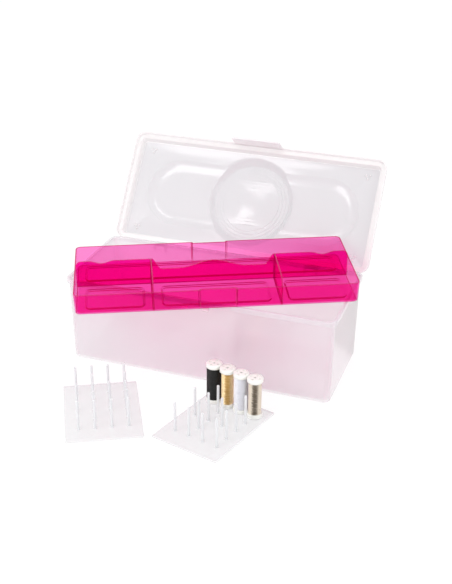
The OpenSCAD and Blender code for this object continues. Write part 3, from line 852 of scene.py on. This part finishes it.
def tray_ring(grow, height):
    """A ring on the tray's drafted wall, or this far outside it, with the notches in its long sides."""
    inside = grow <= -TRAY_WALL + 0.5 * MM
    lost = 2 * TRAY_DRAFT * (1 - height / TRAY_HEIGHT)
    length = TRAY_LENGTH - lost + 2 * grow
    width = TRAY_WIDTH - lost + 2 * grow
    wall = TRAY_WALL if inside else 0
    depth = width / 2 - (TRAY_WIDTH / 2 - NOTCH_IN - wall)
    notch = (NOTCH_HALF + wall, depth, depth / 3)
    return rounded_ring(length, width, TRAY_CORNER + grow, height, TRAY_ARC, notch)


def floor_panels():
    """(centre x, centre y, length, width) of the raised panel in each compartment."""
    foot_length = TRAY_LENGTH - 2 * TRAY_DRAFT
    foot_width = TRAY_WIDTH - 2 * TRAY_DRAFT
    margin = 22 * MM
    shift = 1 * MM
    front_y = (DIVIDER_Y - foot_width / 2) / 2 - shift
    front_width = foot_width / 2 + DIVIDER_Y - margin
    rear_y = (DIVIDER_Y + foot_width / 2) / 2 + shift
    rear_width = foot_width / 2 - DIVIDER_Y - margin
    end_x = (foot_length / 2 + CROSS_X) / 2 - shift
    end_length = foot_length / 2 - CROSS_X - margin
    return [(-end_x, front_y, end_length, front_width), (end_x, front_y, end_length, front_width),
            (0, front_y, 2 * CROSS_X - margin, front_width), (0, rear_y, foot_length - margin, rear_width)]


def panel_height(x, y, inset):
    """Height of the raised panels over the tray's floor."""
    corner = TRAY_CORNER - inset
    share = 0
    for panel_x, panel_y, length, width in floor_panels():
        past_x = abs(x - panel_x) - length / 2 + inset + corner
        past_y = abs(y - panel_y) - width / 2 + inset + corner
        inside = corner - math.hypot(max(past_x, 0), max(past_y, 0)) - min(max(past_x, past_y), 0)
        share = max(share, limited(inside / FLOOR_LIP))
    return FLOOR_RISE * share


def add_tray_floor(made, ring, level, inset):
    """A skin of the floor inside a ring, with darker faces up the sides of its raised panels."""
    outlines = []
    for x, y, length, width in floor_panels():
        for grow in (inset, inset + FLOOR_LIP):
            outline = rounded_ring(length - 2 * grow, width - 2 * grow, TRAY_CORNER - grow, 0)
            outlines.append([(along + x, across + y) for along, across, _ in outline])
    for face in pressed_skin(made, ring, outlines, lambda x, y: level + panel_height(x, y, inset)):
        heights = [vert.co.z for vert in face.verts]
        steep = max(heights) - min(heights) > FLOOR_RISE / 2
        face.material_index = DARK_FACE if steep else FLOOR_FACE


def tray_walls():
    """The tray's skin outside and inside, as a bmesh. The foot's edge, the rim and the notches'
    upright corners are dark."""
    foot_edge = 2 * MM
    foot_steps = 3
    rim_edge = 0.35 * MM
    rim_band = 0.7 * MM
    inner_edge = 0.8 * MM
    rings, dark = [], []

    def add(grow, height, darker=False):
        rings.append(tray_ring(grow, height))
        dark.append(darker)

    add(-foot_edge - 1 * MM, 0)
    for step, angle in enumerate(arc_angles(0, QUARTER_TURN, foot_steps)):
        add(-foot_edge * (1 - math.sin(angle)), foot_edge * (1 - math.cos(angle)), step < 2)
    add(0, TRAY_HEIGHT - rim_band)
    add(0, TRAY_HEIGHT - rim_edge, True)
    add(-rim_edge, TRAY_HEIGHT, True)
    add(rim_edge - TRAY_WALL, TRAY_HEIGHT, True)
    add(-TRAY_WALL, TRAY_HEIGHT - rim_edge, True)
    add(-TRAY_WALL, TRAY_WALL + inner_edge)
    add(-TRAY_WALL - inner_edge, TRAY_WALL)

    corner_points = TRAY_ARC + 1
    upright = set()
    for start in (2 * corner_points, 4 * corner_points + NOTCH_POINTS):
        upright |= {start, start + 1, start + NOTCH_POINTS - 3, start + NOTCH_POINTS - 2}

    def tone(band, place):
        on_wall = 1 < band < len(rings) - 2
        return DARK_FACE if dark[band] and dark[band + 1] or on_wall and place in upright else CLEAR_FACE

    made = shell(rings, False, False, finish_of=tone)
    add_tray_floor(made, rings[0], 0, TRAY_WALL)
    add_tray_floor(made, rings[-1], TRAY_WALL, 0)
    bmesh.ops.remove_doubles(made, verts=made.verts, dist=WELD)
    return made


def divider_outline():
    """The long divider's upper edge from left to right: a hump between two finger grips, a scoop
    near each end, and rounded ends."""
    half = TRAY_LENGTH / 2 - TRAY_DRAFT - TRAY_WALL / 2
    grip, hump, hump_half = 22 * MM, 31.5 * MM, 44 * MM
    hump_steps = 8
    rounding = 6 * MM
    rise = 2 * rounding
    rise_end = CROSS_X - 1 * MM
    rise_steps = 8
    scoop_x, scoop_half, scoop_deep = 143 * MM, 16 * MM, 3.6 * MM
    scoop_steps = 6
    top = []
    for step in range(hump_steps + 1):
        along = hump_half * (step / hump_steps)
        top.append((along, grip + (hump - grip) * (0.5 + 0.5 * math.cos(math.pi * along / hump_half))))
    top.append((rise_end - rise, grip))
    for step in range(1, rise_steps):
        share = step / rise_steps
        top.append((rise_end - rise + share * rise, grip + (DIVIDER_HEIGHT - grip) * eased(share)))
    top.append((rise_end, DIVIDER_HEIGHT))
    for step in range(2 * scoop_steps + 1):
        along = -1 + step / scoop_steps
        deep = scoop_deep * (0.5 + 0.5 * math.cos(math.pi * along))
        top.append((scoop_x + along * scoop_half, DIVIDER_HEIGHT - deep))
    for angle in arc_angles(QUARTER_TURN, -QUARTER_TURN, 4):
        top.append((half - rounding + rounding * math.cos(angle),
                    DIVIDER_HEIGHT - rounding + rounding * math.sin(angle)))
    top.append((half, DIVIDER_FOOT))
    right = [(min(along, half), height) for along, height in top]
    left = [(-along, height) for along, height in reversed(right[1:])]
    return left + right


def divider_seams(front, rear):
    """The corners where the walls meet, which are seen through a lot of plastic, as a mesh."""
    seam = 0.7 * MM
    end = 1 * MM
    half = TRAY_LENGTH / 2 - TRAY_DRAFT - TRAY_WALL
    made = bmesh.new()
    bar(made, (-half, rear - seam, TRAY_WALL), (half, rear, TRAY_WALL + seam))
    for side in (-1, 1):
        for way in (-1, 1):
            x = side * CROSS_X + way * (DIVIDER_THICK / 2 + seam / 2)
            low, high = x - seam / 2, x + seam / 2
            bar(made, (low, front + end, TRAY_WALL), (high, rear - seam, TRAY_WALL + seam))
            bar(made, (low, rear - seam, TRAY_WALL + seam), (high, rear, DIVIDER_HEIGHT - end))
    for face in made.faces:
        face.material_index = DARK_FACE
    mesh = bpy.data.meshes.new("seams")
    made.to_mesh(mesh)
    made.free()
    return mesh


def tray_dividers():
    """The long divider and the two cross walls, which drop to the tray's rim at the front, as a
    bmesh. Their broad faces are clear and their edges dark."""
    thick = DIVIDER_THICK
    front = -TRAY_WIDTH / 2 + TRAY_DRAFT + TRAY_WALL / 2
    rear = DIVIDER_Y - thick / 2 - 0.02 * MM
    slope = [(14 * MM, DIVIDER_HEIGHT), (8 * MM, DIVIDER_HEIGHT - 2 * MM),
             (3 * MM, TRAY_HEIGHT + 1 * MM), (0, TRAY_HEIGHT)]
    cross = [(front, DIVIDER_FOOT), (rear, DIVIDER_FOOT), (rear, DIVIDER_HEIGHT)]
    cross += [(front + back, height) for back, height in slope]
    made = bmesh.new()
    plate(made, divider_outline(), thick, lambda a, b, depth: (a, DIVIDER_Y - thick / 2 + depth, b))
    for side in (-1, 1):
        plate(made, cross, thick, lambda a, b, depth: (side * CROSS_X - thick / 2 + depth, a, b))
    for face in made.faces:
        face.material_index = CLEAR_FACE if len(face.verts) > 4 else DARK_FACE
    made.from_mesh(divider_seams(front, rear))
    return made


def build_tray_piece(made, name, *materials):
    for vert in made.verts:
        vert.co = laid_in_place(vert.co)
    piece = finished(made, name, *materials, sharp=30)
    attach(piece, "tray")
    return piece


walls = build_tray_piece(tray_walls(), "tray_walls", tray_plastic, tray_edge, tray_floor_plastic)
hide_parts("tray")
build_tray_piece(tray_dividers(), "tray_dividers", tray_deep, tray_edge)

# The racks
# Two milky plates, each moulded in one piece with slim pins. They stand on the table in front, each
# at its own place and turned by its own angle in degrees.
RACKS = {"left": (-82.9 * MM, -185.1 * MM, 27.8), "right": (58.5 * MM, -166.7 * MM, -15.4)}
RACK_WIDTH = 94 * MM
RACK_LENGTH = 128 * MM
RACK_THICK = 2.5 * MM
RACK_COLUMNS = 4
RACK_ROWS = 5
PIN_RADIUS = 1.65 * MM
PIN_TOP = 42.4 * MM
PIN_PITCH = 20.4 * MM
PIN_SHIFT = 2.5 * MM
milky_plastic = frosted("milky_rack", (0.88, 0.875, 0.89), cover=0.42)
pin_plastic = frosted("milky_pins", (0.85, 0.865, 0.875), cover=0.92, milk=0.4, gloss=0.3)


def on_rack(side, point):
    """A point of a rack, in its place on the table."""
    x, y, degrees = RACKS[side]
    c, s = math.cos(math.radians(degrees)), math.sin(math.radians(degrees))
    return (x + point[0] * c - point[1] * s, y + point[0] * s + point[1] * c, point[2])


def pin_place(side, column, row, height):
    x = (column - (RACK_COLUMNS - 1) / 2) * PIN_PITCH
    y = (row - (RACK_ROWS - 1) / 2) * PIN_PITCH + PIN_SHIFT
    return on_rack(side, (x, y, height))


def build_rack_plate(side):
    edge = 0.4 * MM
    corner = 1.5 * MM
    rings = []
    for inset, height in ((edge, 0), (0, edge), (0, RACK_THICK - edge), (edge, RACK_THICK)):
        ring = rounded_ring(RACK_WIDTH - 2 * inset, RACK_LENGTH - 2 * inset, corner - inset, height, arc=4)
        rings.append([on_rack(side, point) for point in ring])
    board = finished(shell(rings), "rack_plate_" + side, milky_plastic)
    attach(board, side + "_rack")
    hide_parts("rack_" + side)


def build_rack_pins(side):
    """Pins with a small collar, a slight taper and a rounded tip, in every place of the odd rows and
    every other place of the even ones."""
    foot = RACK_THICK - 0.3 * MM
    collar = PIN_RADIUS + 0.5 * MM
    outline = [(0, foot), (collar, foot), (collar, RACK_THICK),
               (PIN_RADIUS + 0.1 * MM, RACK_THICK + 0.9 * MM), (PIN_RADIUS, RACK_THICK + 1.6 * MM),
               (PIN_RADIUS * 0.97, PIN_TOP - 0.7 * MM), (PIN_RADIUS * 0.6, PIN_TOP), (0, PIN_TOP)]
    made = bmesh.new()
    lathed(made, outline, sides=24, closed=False)
    pin = finished(made, "one_pin", pin_plastic)
    points = [pin_place(side, column, row, 0) for column in range(RACK_COLUMNS) for row in range(RACK_ROWS)
              if row % 2 == 0 or column % 2 == 1]
    pins = repeated("rack_pins_" + side, pin, points, pin_plastic, spread=3.1, seed=11)
    bpy.data.objects.remove(pin)
    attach(pins, side + "_rack")


for side in RACKS:
    build_rack_plate(side)
    build_rack_pins(side)

# The spools
# Four white plastic spools on the right rack's rear row: a turned bobbin, a pressed-in cap with
# round pockets, and thread wound in close turns in black, gold, white and silver.
SPOOL_RADIUS = 10 * MM
SPOOL_HEIGHT = 55 * MM
SPOOL_END = 5.5 * MM
SPOOL_SEAT = 0.3 * MM
TUBE_RADIUS = 4.5 * MM
THREAD_RADIUS = 0.26 * MM
WINDINGS = {"black": 18.8, "gold": 15.6, "white": 18, "silver": 16.4}


def moulded_white(name, tone):
    finish = Finish(name)
    return finish.shown(finish.node("ShaderNodeBsdfPrincipled", {}, {
        "Base Color": finish.between(finish.cloud(scale=60, detail=3), tone, dimmed(tone, 0.96)),
        "Roughness": 0.35,
        "Normal": finish.bump(0.08, 0.2 * MM, finish.cloud(scale=400))}))


def thread_finish(name, dark, light, metal, rough):
    """Thread laid in turns, with a painted sheen: its colour is painted bright where the turns slant away
    from the view at the sides and dark in the middle, a little uneven from strand to strand."""
    finish = Finish(name)
    strands = finish.cloud(scale=30, detail=4, stretch=(6, 6, 60))
    fuzz = finish.cloud(scale=300, stretch=(1, 1, 4))
    outward = finish.node("ShaderNodeAttribute", {"attribute_name": "outward"}, {}, "Vector")
    turned = finish.node("ShaderNodeLayerWeight", {}, {"Blend": 0.5, "Normal": outward}, "Facing")
    uneven = 0.25
    # Painted sheen: the colour turns lighter where the turns slant away from the view, darker face on.
    side = finish.node("ShaderNodeMapRange", {"interpolation_type": "SMOOTHSTEP"}, {
        "Value": turned + (strands - 0.5) * uneven, "From Min": 0.14, "From Max": 0.34})
    rougher = 0.15
    return finish.shown(finish.node("ShaderNodeBsdfPrincipled", {}, {
        "Base Color": finish.between(side, dark, light),
        "Metallic": metal,
        "Roughness": strands * rougher + rough,
        "Normal": finish.bump(0.3, 0.2 * MM, fuzz)}))


spool_white = moulded_white("spool_white", (0.8, 0.8, 0.765))
# Each thread gives its colour face on, then the lighter colour of its painted sheen at the sides.
threads = {
    "black": thread_finish("black_thread", (0.002, 0.002, 0.002), (0.012, 0.01, 0.01), metal=0.0, rough=0.6),
    "gold": thread_finish("gold_thread", (0.45, 0.27, 0.08), (1.0, 0.82, 0.5), metal=0.4, rough=0.3),
    "white": thread_finish("white_thread", (0.64, 0.64, 0.69), (0.76, 0.76, 0.8), metal=0.0, rough=0.6),
    "silver": thread_finish("silver_thread", (0.1, 0.078, 0.055), (0.76, 0.68, 0.57), metal=0.3, rough=0.3),
}


def wound_turns(name, radius, height, turns, material):
    """A close spiral of thread."""
    tree = Growth(name, {"Turns": ("Float", turns), "Radius": ("Float", radius), "Height": ("Float", height),
                         "Thread radius": ("Float", THREAD_RADIUS), "Material": ("Material", material)})
    spiral = tree.node("GeometryNodeCurveSpiral", {}, {
        "Resolution": 40, "Rotations": tree.given("Turns"), "Start Radius": tree.given("Radius"),
        "End Radius": tree.given("Radius"), "Height": tree.given("Height")})
    section = tree.node("GeometryNodeCurvePrimitiveCircle", {}, {
        "Resolution": 6, "Radius": tree.given("Thread radius")})
    sweep = tree.node("GeometryNodeCurveToMesh", {}, {
        "Curve": spiral, "Profile Curve": section, "Fill Caps": True})
    return tree.grown(tree.node("GeometryNodeSetShadeSmooth", {}, {"Geometry": sweep}))


def mark_outward(piece, axis):
    """Notes at each point which way is out from the spool's axis, for the painted sheen in the thread's
    finish.
    """
    marks = piece.data.attributes.new("outward", "FLOAT_VECTOR", "POINT")
    for mark, vert in zip(marks.data, piece.data.vertices):
        mark.vector = Vector((vert.co.x - axis[0], vert.co.y - axis[1], 0)).normalized()


def build_bobbin(colour, place):
    """The foot, hollow below, and the tube that the thread is wound on."""
    bore = 2.4 * MM
    hollow = 4 * MM
    hollow_radius = SPOOL_RADIUS - 1.5 * MM
    bevel = 0.9 * MM
    tube_top = SPOOL_HEIGHT - SPOOL_END
    outline = [(bore, 0), (TUBE_RADIUS, 0), (TUBE_RADIUS, hollow),
               (hollow_radius, hollow), (hollow_radius, 0), (SPOOL_RADIUS - 0.7 * MM, 0),
               (SPOOL_RADIUS, bevel), (SPOOL_RADIUS, SPOOL_END - bevel),
               (SPOOL_RADIUS - 0.25 * bevel, SPOOL_END - 0.3 * bevel), (SPOOL_RADIUS - bevel, SPOOL_END),
               (TUBE_RADIUS, SPOOL_END), (TUBE_RADIUS, tube_top), (bore, tube_top)]
    made = bmesh.new()
    lathed(made, outline, centre=place)
    bobbin = finished(made, "bobbin_of_" + colour, spool_white)
    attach(bobbin, colour + "_spool")
    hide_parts("bobbin_" + colour)


def build_cap(colour, place):
    """The cap of the CAD model, with shallower pockets and crisp edges."""
    pocket_floor = place[2] + SPOOL_HEIGHT - 3 * MM
    close = 0.1 * MM
    shallower = 1.6 * MM
    made = bmesh.new()
    made.from_mesh(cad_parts["cap_" + colour].data)
    bmesh.ops.remove_doubles(made, verts=made.verts, dist=0.01 * MM)
    for vert in made.verts:
        if abs(vert.co.z - pocket_floor) < close:
            vert.co.z += shallower
    cap = finished(made, "cap_of_" + colour, spool_white, sharp=50)
    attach(cap, colour + "_spool")
    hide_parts("cap_" + colour)


def build_thread(colour, place):
    """The winding's core, a sleeve on the tube, and the turns of thread that lie round it."""
    radius = WINDINGS[colour] / 2 * MM
    gap = 0.02 * MM
    low = SPOOL_END + gap
    high = SPOOL_HEIGHT - SPOOL_END - gap
    bore = TUBE_RADIUS + 0.1 * MM
    core = radius - 1.2 * THREAD_RADIUS
    made = bmesh.new()
    lathed(made, [(bore, low), (core, low), (core, high), (bore, high)], centre=place)
    winding = finished(made, "winding_of_" + colour, threads[colour])
    mark_outward(winding, place)
    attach(winding, colour + "_spool")
    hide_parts("thread_" + colour)

    height = high - low - 2 * THREAD_RADIUS
    count = round(height / (2 * THREAD_RADIUS))
    turns = wound_turns("turns_of_" + colour, radius - THREAD_RADIUS, height, count, threads[colour])
    for vert in turns.data.vertices:
        vert.co += Vector(place) + Vector((0, 0, low + THREAD_RADIUS))
    mark_outward(turns, place)
    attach(turns, colour + "_spool")


for column, colour in enumerate(WINDINGS):
    place = pin_place("right", column, RACK_ROWS - 1, RACK_THICK + SPOOL_SEAT)
    build_bobbin(colour, place)
    build_cap(colour, place)
    build_thread(colour, place)
